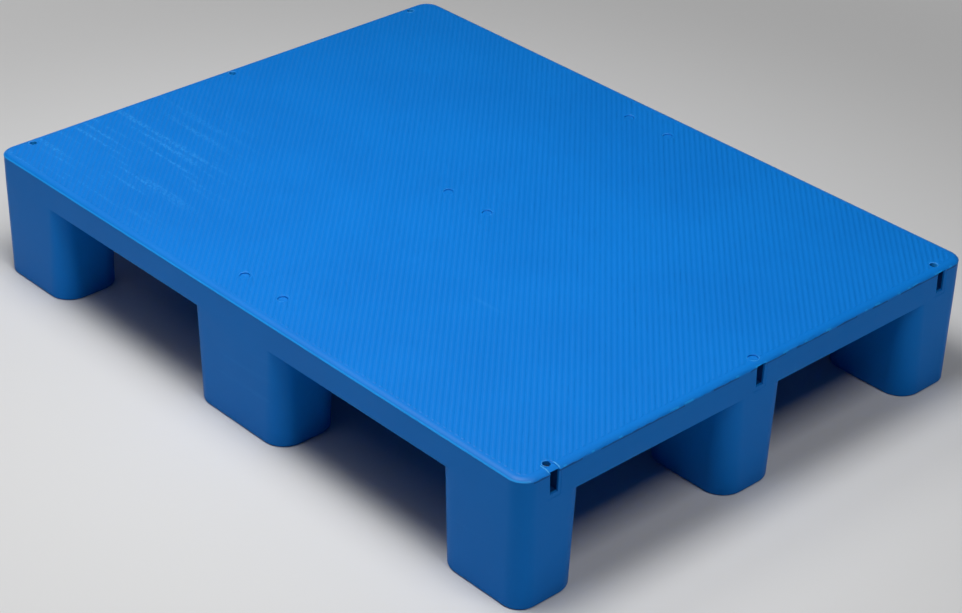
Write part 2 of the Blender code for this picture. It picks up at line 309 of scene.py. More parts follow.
@dataclass(frozen=True)
class DrawnSteel:
    """Cold-drawn steel with lines along its length and specks of light rust."""

    name: str = "drawn_steel"
    slot: str = "tube_steel"
    bright: Colour = (0.42, 0.43, 0.44)
    dark: Colour = (0.24, 0.25, 0.26)
    rust: Colour = (0.16, 0.055, 0.022)
    line_scale: Place = (4.0, 2600.0, 2600.0)
    line_span: Point = (0.35, 0.65)
    line_depth: float = 0.00002
    rust_scale: float = 260.0
    rust_span: Point = (0.54, 0.64)
    metallic: Point = (1.0, 0.1)
    roughness: Point = (0.36, 0.8)

    def material(self) -> bpy.types.Material:
        """Make the finish, once.

        Returns:
            The node material.
        """
        found = bpy.data.materials.get(self.name)
        if found:
            return found
        material, graph, shader, place = new_material(self.name)
        lines = graph.noise(graph.stretch(place, self.line_scale), 1.0, 3.0)
        steel = graph.blend(graph.window(lines, *self.line_span), self.dark, self.bright)
        specks = graph.window(graph.noise(place, self.rust_scale, 5.0), *self.rust_span)
        bump = graph.add("ShaderNodeBump", {"Distance": self.line_depth, "Height": lines})
        graph.feed(shader, {"Base Color": graph.blend(specks, steel, self.rust),
                            "Metallic": graph.window(specks, 0.0, 1.0, *self.metallic),
                            "Roughness": graph.window(specks, 0.0, 1.0, *self.roughness),
                            "Normal": bump.outputs["Normal"]})
        return material


DECK_FINISH = Plastic("deck_plastic", "deck_blue", (0.0035, 0.200, 0.690), (0.030, 0.300, 0.800),
                      worn_corner=True)
SKIRT_FINISH = replace(DECK_FINISH, name="skirt_plastic", specular=0.06, worn_corner=False)
# Painted highlight: a paler blue along the foot of the near crown; the same finish also marks pale flecks of
# trimmed flash on the short sides.
EDGE_HIGHLIGHT_AND_FLECK_FINISH = replace(DECK_FINISH, name="edge_highlight_and_fleck_plastic", colour=(0.012, 0.300, 0.810), worn_corner=False)
# Painted shade: a dark blue for the walls of the slot mouths and the insides of the beams.
CHANNEL_SHADE_FINISH = replace(SKIRT_FINISH, name="channel_shade_plastic", colour=(0.0020, 0.052, 0.220),
                         pale=(0.003, 0.09, 0.30))
# Painted shadow: a darker blue for the band just under the flash on the short sides.
FLASH_SHADOW_FINISH = replace(SKIRT_FINISH, name="flash_shadow_plastic", colour=(0.0025, 0.110, 0.420))
LEG_FINISH = replace(SKIRT_FINISH, name="leg_plastic", slot="leg_blue")
PLUG_FINISH = replace(DECK_FINISH, name="plug_plastic", slot="plug_blue", grain_scale=2600.0,
                      worn_corner=False)
HEADED_PIN_FINISH = replace(PLUG_FINISH, name="headed_pin_plastic", slot="pin_blue")
# Painted shade: the bare lock pins are dark so that their holes and the slot backs read as deep hollows.
PIN_SHADE_FINISH = Plastic("pin_shade_plastic", "pin_blue", (0.0010, 0.014, 0.065), (0.006, 0.05, 0.18),
                     roughness=0.55, grain_scale=2600.0, scuffs=0.3)
# Pushed-up burrs, also given a paler colour as a painted highlight on their edges.
BURR_HIGHLIGHT_FINISH = Plastic("burr_highlight_plastic", "deck_blue", (0.10, 0.46, 0.90), (0.30, 0.62, 0.95),
                      roughness=0.5, grain_scale=4200.0, scuffs=0.6)
STEEL_FINISH = DrawnSteel()


# ---- mesh helpers


@dataclass(frozen=True)
class Plan:
    """A rectangle seen from above, with a radius for each corner.

    The radii go round anticlockwise from the lowest X and Y.
    """

    x0: float
    x1: float
    y0: float
    y1: float
    radii: tuple[float, float, float, float]

    def outline(self, inset: float = 0.0, steps: int = 10, sides: int = 1) -> list[Point]:
        """Return the outline anticlockwise.

        Args:
            inset: How far it is moved inwards.
            steps: Facets in each corner.
            sides: Pieces that each straight run is split into.

        Returns:
            Points in plan, the same number whatever the inset.
        """
        corners = ((self.x0, self.y0, 1, 1), (self.x1, self.y0, -1, 1),
                   (self.x1, self.y1, -1, -1), (self.x0, self.y1, 1, -1))
        arcs = []
        for index, (x, y, to_x, to_y) in enumerate(corners):
            radius = self.radii[index]
            reach = max(radius, inset)
            centre = (x + to_x * reach, y + to_y * reach)
            start = math.pi + index * math.pi / 2
            turns = [start + math.pi / 2 * step / steps for step in range(steps + 1)]
            small = max(radius - inset, 0.00002)
            arcs.append([(centre[0] + small * math.cos(t), centre[1] + small * math.sin(t)) for t in turns])
        points: list[Point] = []
        for arc, following in zip(arcs, arcs[1:] + arcs[:1]):
            points += arc
            (ax, ay), (bx, by) = arc[-1], following[0]
            for part in range(1, sides):
                share = part / sides
                points.append((ax + (bx - ax) * share, ay + (by - ay) * share))
        return points


def lift(points: list[Point], z: float) -> list[Place]:
    """Return plan points at a height."""
    return [(x, y, z) for x, y in points]


def across_x(x: float, y: float, foot: float, head: float, low: float, high: float) -> list[Place]:
    """Make a four-cornered section that stands across X.

    Args:
        x: Its place along X.
        y: The Y of its middle.
        foot: Half its width at the bottom.
        head: Half its width at the top.
        low: The height of its bottom.
        high: The height of its top.

    Returns:
        The corners, bottom ones first.
    """
    return [(x, y - foot, low), (x, y + foot, low), (x, y + head, high), (x, y - head, high)]


def skin(bm: bmesh.types.BMesh, rings: list[list[Place]], closed: bool = False) -> None:
    """Skin a stack of rings of points.

    Args:
        bm: The mesh to add to.
        rings: Rings of the same number of points.
        closed: Join the last ring to the first, instead of capping both.
    """
    loops = [[bm.verts.new(point) for point in ring] for ring in rings]
    count = len(loops[0])
    pairs = list(zip(loops, loops[1:]))
    if closed:
        pairs.append((loops[-1], loops[0]))
    for lower, upper in pairs:
        for index in range(count):
            after = (index + 1) % count
            bm.faces.new((lower[index], lower[after], upper[after], upper[index]))
    if not closed:
        bm.faces.new(list(reversed(loops[0])))
        bm.faces.new(loops[-1])


def turned(bm: bmesh.types.BMesh, x: float, y: float, profile: list[Point], facets: int = 32) -> None:
    """Add an upright turned solid.

    Args:
        bm: The mesh to add to.
        x: The axis's place along X.
        y: The axis's place along Y.
        profile: Pairs of radius and height, from one cap to the other.
        facets: How many sides it has.
    """
    turns = [2 * math.pi * step / facets for step in range(facets)]
    skin(bm, [[(x + r * math.cos(t), y + r * math.sin(t), z) for t in turns] for r, z in profile])


def make_object(name: str, bm: bmesh.types.BMesh) -> bpy.types.Object:
    """Turn a mesh into a linked object at the origin, with its faces outwards.

    Args:
        name: The object's name.
        bm: The mesh, which is used up.

    Returns:
        The new object.
    """
    bmesh.ops.recalc_face_normals(bm, faces=bm.faces)
    mesh = bpy.data.meshes.new(name)
    bm.to_mesh(mesh)
    bm.free()
    thing = bpy.data.objects.new(name, mesh)
    bpy.context.scene.collection.objects.link(thing)
    return thing


def cutter(name: str, bm: bmesh.types.BMesh) -> bpy.types.Object:
    """Turn a mesh into a hidden cutting shape of flat triangles.

    Args:
        name: The object's name.
        bm: The mesh, which is used up.

    Returns:
        The new object.
    """
    bmesh.ops.triangulate(bm, faces=bm.faces)
    thing = make_object(name, bm)
    thing.hide_render = True
    return thing


def settle(thing: bpy.types.Object, *spent: bpy.types.Object) -> bpy.types.Object:
    """Make an object's modifiers permanent.

    Args:
        thing: The object, which keeps its name.
        *spent: Cutting shapes that are no longer needed.

    Returns:
        The same object, with a plain mesh.
    """
    evaluated = thing.evaluated_get(bpy.context.evaluated_depsgraph_get())
    mesh = bpy.data.meshes.new_from_object(evaluated)
    mesh.name = thing.name
    thing.modifiers.clear()
    thing.data = mesh
    for helper in spent:
        bpy.data.objects.remove(helper)
    return thing


def boolean(thing: bpy.types.Object, tool: bpy.types.Object, operation: str = "DIFFERENCE") -> None:
    """Add an exact Boolean to an object.

    Args:
        thing: The object that is cut.
        tool: The cutting shape.
        operation: What the Boolean does.
    """
    modifier = thing.modifiers.new("cut_" + tool.name, "BOOLEAN")
    modifier.operation = operation
    modifier.solver = "EXACT"
    modifier.object = tool


def soften(thing: bpy.types.Object) -> None:
    """Round an object's sharp edges slightly.

    Args:
        thing: The object, which gets a bevel.
    """
    bevel = thing.modifiers.new("soft_edges", "BEVEL")
    bevel.width = SOFT_EDGE
    bevel.segments = 2
    bevel.limit_method = "ANGLE"


def smooth(thing: bpy.types.Object, degrees: float = 32.0) -> None:
    """Shade an object smooth but for its sharp edges."""
    thing.data.shade_smooth()
    thing.data.set_sharp_from_angle(angle=math.radians(degrees))


def dress(thing: bpy.types.Object, finish: Plastic | DrawnSteel) -> None:
    """Give an object one finish."""
    thing.data.materials.clear()
    thing.data.materials.append(finish.material())


def finished(name: str, bm: bmesh.types.BMesh, finish: Plastic | DrawnSteel,
             degrees: float = 32.0) -> bpy.types.Object:
    """Turn a mesh into an object with one finish and smooth shading.

    Args:
        name: The object's name.
        bm: The mesh, which is used up.
        finish: Its finish.
        degrees: The angle from which its edges are sharp.

    Returns:
        The new object.
    """
    thing = make_object(name, bm)
    dress(thing, finish)
    smooth(thing, degrees)
    return thing


def join(name: str, parts: list[bpy.types.Object]) -> bpy.types.Object:
    """Join objects into the first one.

    Args:
        name: The name of the joined piece.
        parts: The objects, each with its own finish.

    Returns:
        The joined object.
    """
    with bpy.context.temp_override(active_object=parts[0], selected_editable_objects=parts):
        bpy.ops.object.join()
    parts[0].name = name
    parts[0].data.name = name
    return parts[0]


def place_piece(thing: bpy.types.Object, slot: str, *nodes: str) -> None:
    """Hide the imported parts that a finished piece stands for, hang the piece on the body and log it.

    Args:
        thing: The piece.
        slot: Not used.
        *nodes: The nodes that it stands for.
    """
    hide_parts(*nodes)
    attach(thing, BODY)
    LOG.info("%s: %d faces, stands for %s", thing.name, len(thing.data.polygons), ", ".join(nodes))


# ---- geometry nodes


class RuleTree:
    """A Geometry Nodes tree with named inputs, run once on an empty object."""

    def __init__(self, name: str, inputs: dict[str, float]) -> None:
        """Start the tree.

        Args:
            name: The tree's name.
            inputs: The name and value of each size.
        """
        self.tree = bpy.data.node_groups.new(name, "GeometryNodeTree")
        self.tree.is_modifier = True
        self.graph = Graph(self.tree)
        self.values = inputs
        self.identifiers: dict[str, str] = {}
        for key, value in inputs.items():
            whole = isinstance(value, int)
            kind = "NodeSocketInt" if whole else "NodeSocketFloat"
            socket = self.tree.interface.new_socket(key, in_out="INPUT", socket_type=kind)
            socket.default_value = value
            self.identifiers[key] = socket.identifier
        paint = self.tree.interface.new_socket("Finish", in_out="INPUT", socket_type="NodeSocketMaterial")
        self.identifiers["Finish"] = paint.identifier
        self.tree.interface.new_socket("Geometry", in_out="OUTPUT", socket_type="NodeSocketGeometry")
        self.source = self.graph.add("NodeGroupInput")

    def read(self, name: str) -> bpy.types.NodeSocket:
        """Return the socket of a named input."""
        return self.source.outputs[name]

    def vector(self, x: object, y: object, z: object) -> bpy.types.NodeSocket:
        """Return a vector made of three sockets or numbers."""
        return self.graph.add("ShaderNodeCombineXYZ", {0: x, 1: y, 2: z}).outputs[0]

    def finish(self, geometry: bpy.types.NodeSocket) -> None:
        """End the tree: real meshes, one finish, out.

        Args:
            geometry: What the tree has made.
        """
        real = self.graph.add("GeometryNodeRealizeInstances", {0: geometry}).outputs[0]
        inputs = {"Geometry": real, "Material": self.read("Finish")}
        paint = self.graph.add("GeometryNodeSetMaterial", inputs)
        self.graph.add("NodeGroupOutput", {0: paint.outputs[0]})

    def grow(self, name: str, finish: Plastic, **sizes: float) -> bpy.types.Object:
        """Make an object that carries the tree as its first modifier.

        Args:
            name: The object's name.
            finish: The finish that the tree sets.
            **sizes: Inputs that differ from the tree's own, with _ for a space.

        Returns:
            The object, with its modifier not yet applied.
        """
        mesh = bpy.data.meshes.new(name)
        thing = bpy.data.objects.new(name, mesh)
        modifier = thing.modifiers.new(self.tree.name, "NODES")
        modifier.node_group = self.tree
        chosen = {**self.values, **{key.replace("_", " "): value for key, value in sizes.items()}}
        for key, value in chosen.items():
            modifier[self.identifiers[key]] = value
        modifier[self.identifiers["Finish"]] = finish.material()
        bpy.context.scene.collection.objects.link(thing)
        return thing


def tread_tree() -> RuleTree:
    """Make the tree of the fine slanting treads on the deck.

    Each tread is a low round bar that runs at half a right angle to the sides and stops at the
    edge of the field. The crests differ a little in height, as worn tooling leaves them.

    Returns:
        The tree, whose sizes are its inputs.
    """
    tree = RuleTree("slanting_treads", {
        "Half Length": 0.38, "Half Width": 0.28, "Pitch": 0.0056, "Count": 170, "Bar Half Width": 0.0024,
        "Crest": 0.0003, "Sink": 0.0006, "Level": 0.1397, "Seed": 7,
    })
    graph = tree.graph
    inputs = {"Count": tree.read("Count"), "Offset": (0.0, 0.0, 0.0)}
    line = graph.add("GeometryNodeMeshLine", inputs, mode="OFFSET")
    index = graph.add("GeometryNodeInputIndex").outputs[0]
    last = graph.math("SUBTRACT", tree.read("Count"), 1.0)
    centred = graph.math("SUBTRACT", index, graph.product(last, 0.5))
    cross = graph.product(centred, tree.read("Pitch"), math.sqrt(2))
    half_x, half_y = tree.read("Half Length"), tree.read("Half Width")
    low = graph.math("MAXIMUM", graph.product(half_x, -1.0), graph.math("SUBTRACT", cross, half_y))
    high = graph.math("MINIMUM", half_x, graph.math("ADD", cross, half_y))
    middle = graph.product(graph.math("ADD", low, high), 0.5)
    across = graph.math("SUBTRACT", cross, middle)
    length = graph.product(graph.math("SUBTRACT", high, low), math.sqrt(2))
    height = graph.math("ADD", tree.read("Crest"), tree.read("Sink"))
    level = graph.math("SUBTRACT", tree.read("Level"), tree.read("Sink"))
    inputs = {"Geometry": line.outputs[0], "Position": tree.vector(middle, across, level)}
    put = graph.add("GeometryNodeSetPosition", inputs)
    path = graph.add("GeometryNodeCurvePrimitiveLine", {"Start": (-0.5, 0.0, 0.0), "End": (0.5, 0.0, 0.0)})
    circle = graph.add("GeometryNodeCurvePrimitiveCircle", {"Resolution": TREAD_FACETS, "Radius": 1.0})
    bar = graph.add("GeometryNodeCurveToMesh", {"Curve": path.outputs[0], "Profile Curve": circle.outputs[0],
                                                "Fill Caps": True})
    vary = graph.add("FunctionNodeRandomValue", {2: 0.96, 3: 1.0, "Seed": tree.read("Seed")},
                     data_type="FLOAT")
    size = tree.vector(length, tree.read("Bar Half Width"), graph.product(height, vary.outputs[1]))
    place = graph.add("GeometryNodeInstanceOnPoints", {
        "Points": put.outputs[0], "Instance": bar.outputs[0], "Rotation": (0.0, 0.0, -math.pi / 4),
        "Scale": size})
    tree.finish(place.outputs[0])
    return tree


def rib_tree() -> RuleTree:
    """Make the tree of the straight, drafted ribs under the deck.

    Ribs stand side by side at one pitch and are thicker at the root than at the free edge.

    Returns:
        The tree, whose sizes are its inputs.
    """
    tree = RuleTree("deck_ribs", {
        "First": 0.0, "Pitch": 0.05, "Count": 3, "Length": 0.5, "Thickness": 0.0025,
        "Bottom": 0.1108, "Top": 0.1365, "Draft": 0.0004, "Turn": 0.0,
    })
    graph = tree.graph
    height = graph.math("SUBTRACT", tree.read("Top"), tree.read("Bottom"))
    centre = graph.product(graph.math("ADD", tree.read("Top"), tree.read("Bottom")), 0.5)
    inputs = {"Count": tree.read("Count"), "Start Location": tree.vector(0.0, tree.read("First"), centre),
              "Offset": tree.vector(0.0, tree.read("Pitch"), 0.0)}
    line = graph.add("GeometryNodeMeshLine", inputs, mode="OFFSET")
    size = tree.vector(tree.read("Length"), tree.read("Thickness"), height)
    block = graph.add("GeometryNodeMeshCube", {"Size": size})
    split = graph.add("ShaderNodeSeparateXYZ", {0: graph.add("GeometryNodeInputPosition").outputs[0]})
    root = graph.product(graph.math("GREATER_THAN", split.outputs[2], 0.0), tree.read("Draft"))
    shift = tree.vector(0.0, graph.product(graph.math("SIGN", split.outputs[1]), root), 0.0)
    bar = graph.add("GeometryNodeSetPosition", {"Geometry": block.outputs["Mesh"], "Offset": shift})
    inputs = {"Points": line.outputs[0], "Instance": bar.outputs[0]}
    stand = graph.add("GeometryNodeInstanceOnPoints", inputs).outputs[0]
    turn = tree.vector(0.0, 0.0, tree.read("Turn"))
    tree.finish(graph.add("GeometryNodeTransform", {"Geometry": stand, "Rotation": turn}).outputs[0])
    return tree


# ---- shared layout


@dataclass(frozen=True)
class Layout:
    """The sizes that the pieces share, in metres."""

    length: float = 0.800
    width: float = 0.600
    height: float = 0.140
    deck_bottom: float = 0.1083
    ceiling: float = 0.1355
    face_inset: float = 0.0002
    corner_radius: float = 0.0185
    leg_width: float = 0.076
    end_leg_length: float = 0.109
    middle_leg_length: float = 0.138
    leg_corner_radius: float = 0.018
    free_corner_growth: float = 0.007
    deck_corner_growth: float = 0.002
    channel_half: float = 0.0053
    channel_floor: float = 0.1145
    beam_half: float = 0.0078
    stop_x: float = 0.029
    pin_x: float = 0.389

    def row_y(self, row: Row) -> float:
        """Return the Y of a row's middle line."""
        reach = self.width / 2 - self.leg_width / 2
        return {Row.FRONT: -reach, Row.MIDDLE: 0.0, Row.REAR: reach}[row]

    def column_x(self, column: Column) -> float:
        """Return the X of a column's middle line."""
        reach = self.length / 2 - self.end_leg_length / 2
        return {Column.LEFT: -reach, Column.CENTRE: 0.0, Column.RIGHT: reach}[column]

    def off_row(self, y: float) -> float:
        """Return the distance from a Y to the nearest row's middle line."""
        return min(abs(y - self.row_y(row)) for row in Row)

    def tube_lines(self) -> list[tuple[Row, End, float]]:
        """Return each tube's row, its end and its Y."""
        return [(row, end, self.row_y(row)) for row in Row for end in End]

    def headed(self, row: Row, end: End) -> bool:
        """Return whether the lock pin of a tube has a head."""
        return row is Row.MIDDLE and end is End.RIGHT

    def deck_plan(self) -> Plan:
        """Return the deck's outline at its widest."""
        x, y = self.length / 2, self.width / 2
        return Plan(-x, x, -y, y, (self.corner_radius,) * 4)

    def leg_plan(self, row: Row, column: Column, foot: float = 0.0) -> Plan:
        """Return a leg's outline, flush with the deck's sides and rounder towards the floor.

        Args:
            row: The leg's row.
            column: The leg's column.
            foot: Where it is taken, from 0 at the leg's top to 1 at the floor.

        Returns:
            The plan, whose outer sides lie on the faces of the skirt.
        """
        length = self.middle_leg_length if column is Column.CENTRE else self.end_leg_length
        x, y = self.column_x(column), self.row_y(row)
        inset = self.face_inset
        x0 = x - length / 2 + (inset if column is Column.LEFT else 0)
        x1 = x + length / 2 - (inset if column is Column.RIGHT else 0)
        y0 = y - self.leg_width / 2 + (inset if row is Row.FRONT else 0)
        y1 = y + self.leg_width / 2 - (inset if row is Row.REAR else 0)
        outer = [(Column.LEFT, Row.FRONT), (Column.RIGHT, Row.FRONT),
                 (Column.RIGHT, Row.REAR), (Column.LEFT, Row.REAR)]
        radii = [self.leg_corner_radius + self.free_corner_growth * foot] * 4
        if (column, row) in outer:
            under_deck = self.corner_radius - inset + self.deck_corner_growth * foot
            radii[outer.index((column, row))] = under_deck
        return Plan(x0, x1, y0, y1, tuple(radii))


LAYOUT = Layout()


# ---- deck


@dataclass(frozen=True)
class RibSet:
    """Parallel ribs of one pitch, counted outwards from the first."""

    axis: Axis
    first: float
    pitch: float
    count: int
    reach: float
    thickness: float
    bottom: float


@dataclass
class Deck:
    """The deck moulding: treaded skin, skirt, ribs and tube channels underneath."""

    layout: Layout = LAYOUT
    # The outside, from the skirt over the parting line and the crown to the flat top
    top: float = 0.1396
    edge_radius: float = 0.0088
    edge_lean: float = math.radians(52)
    edge_steps: int = 9
    parting: float = 0.1364
    lip: float = 0.0002
    lip_root: float = 0.0003
    lip_foot: float = 0.0018
    corner_steps: int = 12
    run_pieces: int = 150
    # The flash along the short sides, trimmed by hand and left alone at the corners and slots
    flash_height: float = 0.0012
    shave_depth: float = 0.00025
    end_band: float = 0.004
    corner_band: float = 0.012
    corner_fade: float = 0.02
    slot_band: float = 0.0075
    slot_fade: float = 0.006
    # The bands of the outside that have finishes of their own: a painted highlight and pale trim flecks at
    # the crown's foot, a painted shadow under the flash and painted shade in the slot mouths
    highlight_and_fleck_band: float = 0.0013
    shadow_low: float = 0.0016
    shadow_high: float = 0.0002
    mouth_half: float = 0.0060
    mouth_start: float = 0.392
    mouth_end: float = 0.0024
    # The skirt, walls, ribs, beams and posts underneath
    skirt_wall: float = 0.004
    inner_fillet: float = 0.0015
    fillet_steps: int = 4
    rib: float = 0.0025
    wall: float = 0.004
    bay_cells: int = 4
    rib_bottom: float = 0.1108
    rib_top: float = 0.1365
    bite: float = 0.001
    across_lift: float = 0.0001
    along_lift: float = 0.0003
    beam_end_wall: float = 0.0025
    beam_drop: float = 0.0002
    stop_room: float = 0.005
    post_near: float = 0.0009
    post_far: float = 0.0062
    post_lift: float = 0.0005
    # The treads
    tread_pitch: float = 0.00554
    field_margin: float = 0.0080
    field_radius: float = 0.0105
    tread_ramp: float = 0.0016
    plug_ring: float = 0.0066
    pin_ring: float = 0.0052
    # The holes, the panel round each slot and the sunken strip
    head_hole: float = 0.0050
    shank_hole: float = 0.0028
    pin_hole: float = 0.0037
    head_seat: float = 0.1372
    rim: float = 0.0003
    rim_flare: float = 0.0013
    past: float = 0.001
    panel_half: float = 0.0080
    panel_depth: float = 0.00035
    panel_foot: float = 0.0045
    panel_head: float = 0.0016
    strip_half: float = 0.0050
    strip_depth: float = 0.0006
    strip_flare: float = 0.0012
    strip_room: float = 0.0016
    strip_steps: int = 12
    # The burrs
    pin_burr: tuple[float, float, float] = (0.0008, 0.00028, 0.62)
    plug_burr: tuple[float, float, float] = (0.0007, 0.00016, 0.3)
    burr_steps: int = 40
    burr_crest: float = 0.00026
    burr_root: float = 0.0002
    bead_start: float = 0.003
    bead_length: float = 0.0136
    bead_offset: float = 0.0064
    bead_half: float = 0.0008
    bead_steps: int = 24

    def build(self) -> bpy.types.Object:
        """Build the deck.

        Returns:
            The finished deck, one object.
        """
        parts = [self.make_tray(), self.make_treads()]
        parts += self.make_ribs()
        parts += [self.make_beams(), self.make_burrs()]
        return join("deck_shell", parts)

    def ring(self, inset: float, z: float) -> list[Place]:
        """Return the deck's outline, moved inwards, at a height."""
        return lift(self.layout.deck_plan().outline(inset, self.corner_steps, self.run_pieces), z)

    def crown_level(self, inset: float) -> float:
        """Find the height of the deck's outside.

        Args:
            inset: The distance in from its widest outline.

        Returns:
            The height there.
        """
        foot = self.parting + self.lip
        across = math.sin(self.edge_lean) - max(inset, 0.0) / self.edge_radius
        if across <= 0:
            return self.top
        rise = (math.cos(math.asin(across)) - math.cos(self.edge_lean)) / (1 - math.cos(self.edge_lean))
        return foot + (self.top - foot) * rise

    def edge_rings(self) -> list[list[Place]]:
        """Make the rings of the outside.

        Returns:
            Rings from the skirt's foot over the crown to the flat top.
        """
        inset = self.layout.face_inset
        levels = [(self.layout.deck_bottom, inset, 0.0), (self.parting - self.lip_foot, inset, 0.0),
                  (self.parting - self.lip_root, inset, 1.0), (self.parting, 0.0, 1.0),
                  (self.parting + self.lip, 0.0, 1.0)]
        for step in range(1, self.edge_steps + 1):
            angle = self.edge_lean * (1 - step / self.edge_steps)
            inward = self.edge_radius * (math.sin(self.edge_lean) - math.sin(angle))
            levels.append((self.crown_level(inward), inward, 0.5 if step == 1 else 0.0))
        rings = []
        for z, inward, share in levels:
            ring = self.ring(inward, z)
            rings.append([self.trim(point, share) for point in ring] if share else ring)
        return rings

    def trim(self, point: Place, share: float) -> Place:
        """Move a point of the parting line as a hand-trimmed edge is on the short sides.

        Args:
            point: The point as moulded.
            share: How much of the trimming reaches it, from 0 to 1.

        Returns:
            The point after trimming.
        """
        x, y, z = point
        room = self.layout.width / 2 - self.corner_band - abs(y)
        if abs(x) < self.layout.length / 2 - self.end_band or room < 0:
            return point
        fade = min(1.0, room / self.corner_fade)
        fade *= min(1.0, max(0.0, (self.layout.off_row(y) - self.slot_band) / self.slot_fade))
        slow = noise.noise(Vector((y * 22.0, x * 9.0, 0.3)))
        quick = noise.noise(Vector((y * 140.0, x * 9.0, 4.1)))
        drop = self.flash_height * share * fade * (0.4 * slow + 0.8 * quick - 0.05)
        shave = self.shave_depth * share * fade * max(0.0, 0.5 + quick + slow)
        return (x - math.copysign(shave, x), y, z + drop)

    def make_tray(self) -> bpy.types.Object:
        """Make the skin and skirt.

        Returns:
            The tray, with the slots and holes cut.
        """
        rings = []
        for step in range(self.fillet_steps + 1):
            angle = math.pi / 2 * step / self.fillet_steps
            reach = self.skirt_wall + self.inner_fillet * (1 - math.sin(angle))
            rings.append(self.ring(reach, self.layout.ceiling - self.inner_fillet * (1 - math.cos(angle))))
        rings.append(self.ring(self.skirt_wall, self.layout.deck_bottom))
        bm = bmesh.new()
        skin(bm, rings + self.edge_rings())
        tray = make_object("deck_tray", bm)
        dress(tray, DECK_FINISH)
        tools = [self.slot_cutter(), self.frame_cutter(), self.hole_cutter(), self.strip_cutter()]
        for tool in tools:
            boolean(tray, tool)
        settle(tray, *tools)
        self.paint(tray)
        smooth(tray)
        return tray

    def paint(self, tray: bpy.types.Object) -> None:
        """Give the upright faces their own finish, the slots painted shade, the near crown a painted
        highlight, and the trimmed edges pale flecks with a painted shadow under the flash.

        Args:
            tray: The tray, whose first finish is the deck's.
        """
        finishes = [SKIRT_FINISH, EDGE_HIGHLIGHT_AND_FLECK_FINISH, CHANNEL_SHADE_FINISH, FLASH_SHADOW_FINISH]
        for finish in finishes:
            tray.data.materials.append(finish.material())
        for face in tray.data.polygons:
            chosen = self.face_finish(face)
            if chosen:
                face.material_index = 1 + finishes.index(chosen)

    def face_finish(self, face: bpy.types.MeshPolygon) -> Plastic | None:
        """Choose the finish of one face of the tray.

        Args:
            face: The face.

        Returns:
            Its finish, or None where the deck's own finish stays.
        """
        x, y, z = face.center
        end, foot = self.layout.length / 2, self.parting + self.lip
        # Painted shade: the walls and roof of each slot mouth are painted dark blue.
        in_mouth = self.mouth_start < abs(x) < end - self.mouth_end and self.layout.channel_floor < z < foot
        if in_mouth and self.layout.off_row(y) < self.mouth_half:
            return CHANNEL_SHADE_FINISH if abs(face.normal.x) < 0.7 and face.normal.z < 0.2 else None
        on_end = abs(x) > end - self.past and abs(y) < self.layout.width / 2 - self.corner_band
        # Painted shadow: on the short sides a band just under the parting line is painted darker, broken up
        # by noise.
        patch = noise.noise(Vector((y * 45.0, x * 7.0, 2.2)))
        if on_end and self.parting - self.shadow_low < z < self.parting - self.shadow_high and patch > -0.2:
            return FLASH_SHADOW_FINISH
        # Pale flecks of trimmed flash on the short sides, at the foot of the crown.
        at_foot = foot - 0.0001 < z < self.crown_level(self.highlight_and_fleck_band)
        fleck = noise.noise(Vector((y * 170.0, x * 7.0, 6.6)))
        if on_end and at_foot and fleck > 0.25:
            return EDGE_HIGHLIGHT_AND_FLECK_FINISH
        if z < foot and abs(face.normal.z) < 0.35:
            return SKIRT_FINISH
        # Painted highlight: the foot of the crown on faces that face -Y is paler.
        return EDGE_HIGHLIGHT_AND_FLECK_FINISH if at_foot and face.normal.y < -0.25 else None

    def slot_cutter(self) -> bpy.types.Object:
        """Make the cutter of the six tube slots, flared outwards and with a sloping sill.

        Returns:
            The cutter.
        """
        bm = bmesh.new()
        end, half = self.layout.length / 2, self.layout.channel_half
        low, high = self.layout.channel_floor, self.layout.ceiling
        rises = {Row.FRONT: 0.0018, Row.MIDDLE: 0.0014, Row.REAR: 0.0013}
        for row, way, y in self.layout.tube_lines():
            roof = high + rises[row]
            sections = [(end - 0.0065, half - 0.0004, half - 0.0002, low, high + 0.0001),
                        (end - 0.0040, half - 0.0004, half - 0.0001, low, high + 0.0001),
                        (end - 0.0025, half - 0.0004, half, low, roof),
                        (end - 0.0008, half - 0.0006, half + 0.0002, low - 0.0006, roof),
                        (end + 0.0010, half - 0.0004, half + 0.0003, low - 0.0018, roof)]
            skin(bm, [across_x(way.side * x, y, *rest) for x, *rest in sections])
        return cutter("slot_tool", bm)

    def frame_cutter(self) -> bpy.types.Object:
        """Make the cutter of the shallow panel round each slot.

        Returns:
            The cutter.
        """
        bm = bmesh.new()
        end = self.layout.length / 2 - self.layout.face_inset
        low, high = self.layout.channel_floor - self.panel_foot, self.parting - self.panel_head
        half, depth = self.panel_half, self.panel_depth
        grow = depth + self.past
        steps = ((end - depth, half, low), (end + self.past, half + grow, low - grow))
        for _, way, y in self.layout.tube_lines():
            skin(bm, [across_x(way.side * x, y, wide, wide, foot, high) for x, wide, foot in steps])
        return cutter("panel_tool", bm)

    def hole_cutter(self) -> bpy.types.Object:
        """Make the cutter of every plug and pin hole.

        Returns:
            The cutter.
        """
        bm = bmesh.new()
        for row, way, y in self.layout.tube_lines():
            turned(bm, way.side * self.layout.stop_x, y, self.hole_profile(self.shank_hole, True))
            lock = self.hole_profile(self.pin_hole, self.layout.headed(row, way))
            turned(bm, way.side * self.layout.pin_x, y, lock)
        return cutter("hole_tool", bm)

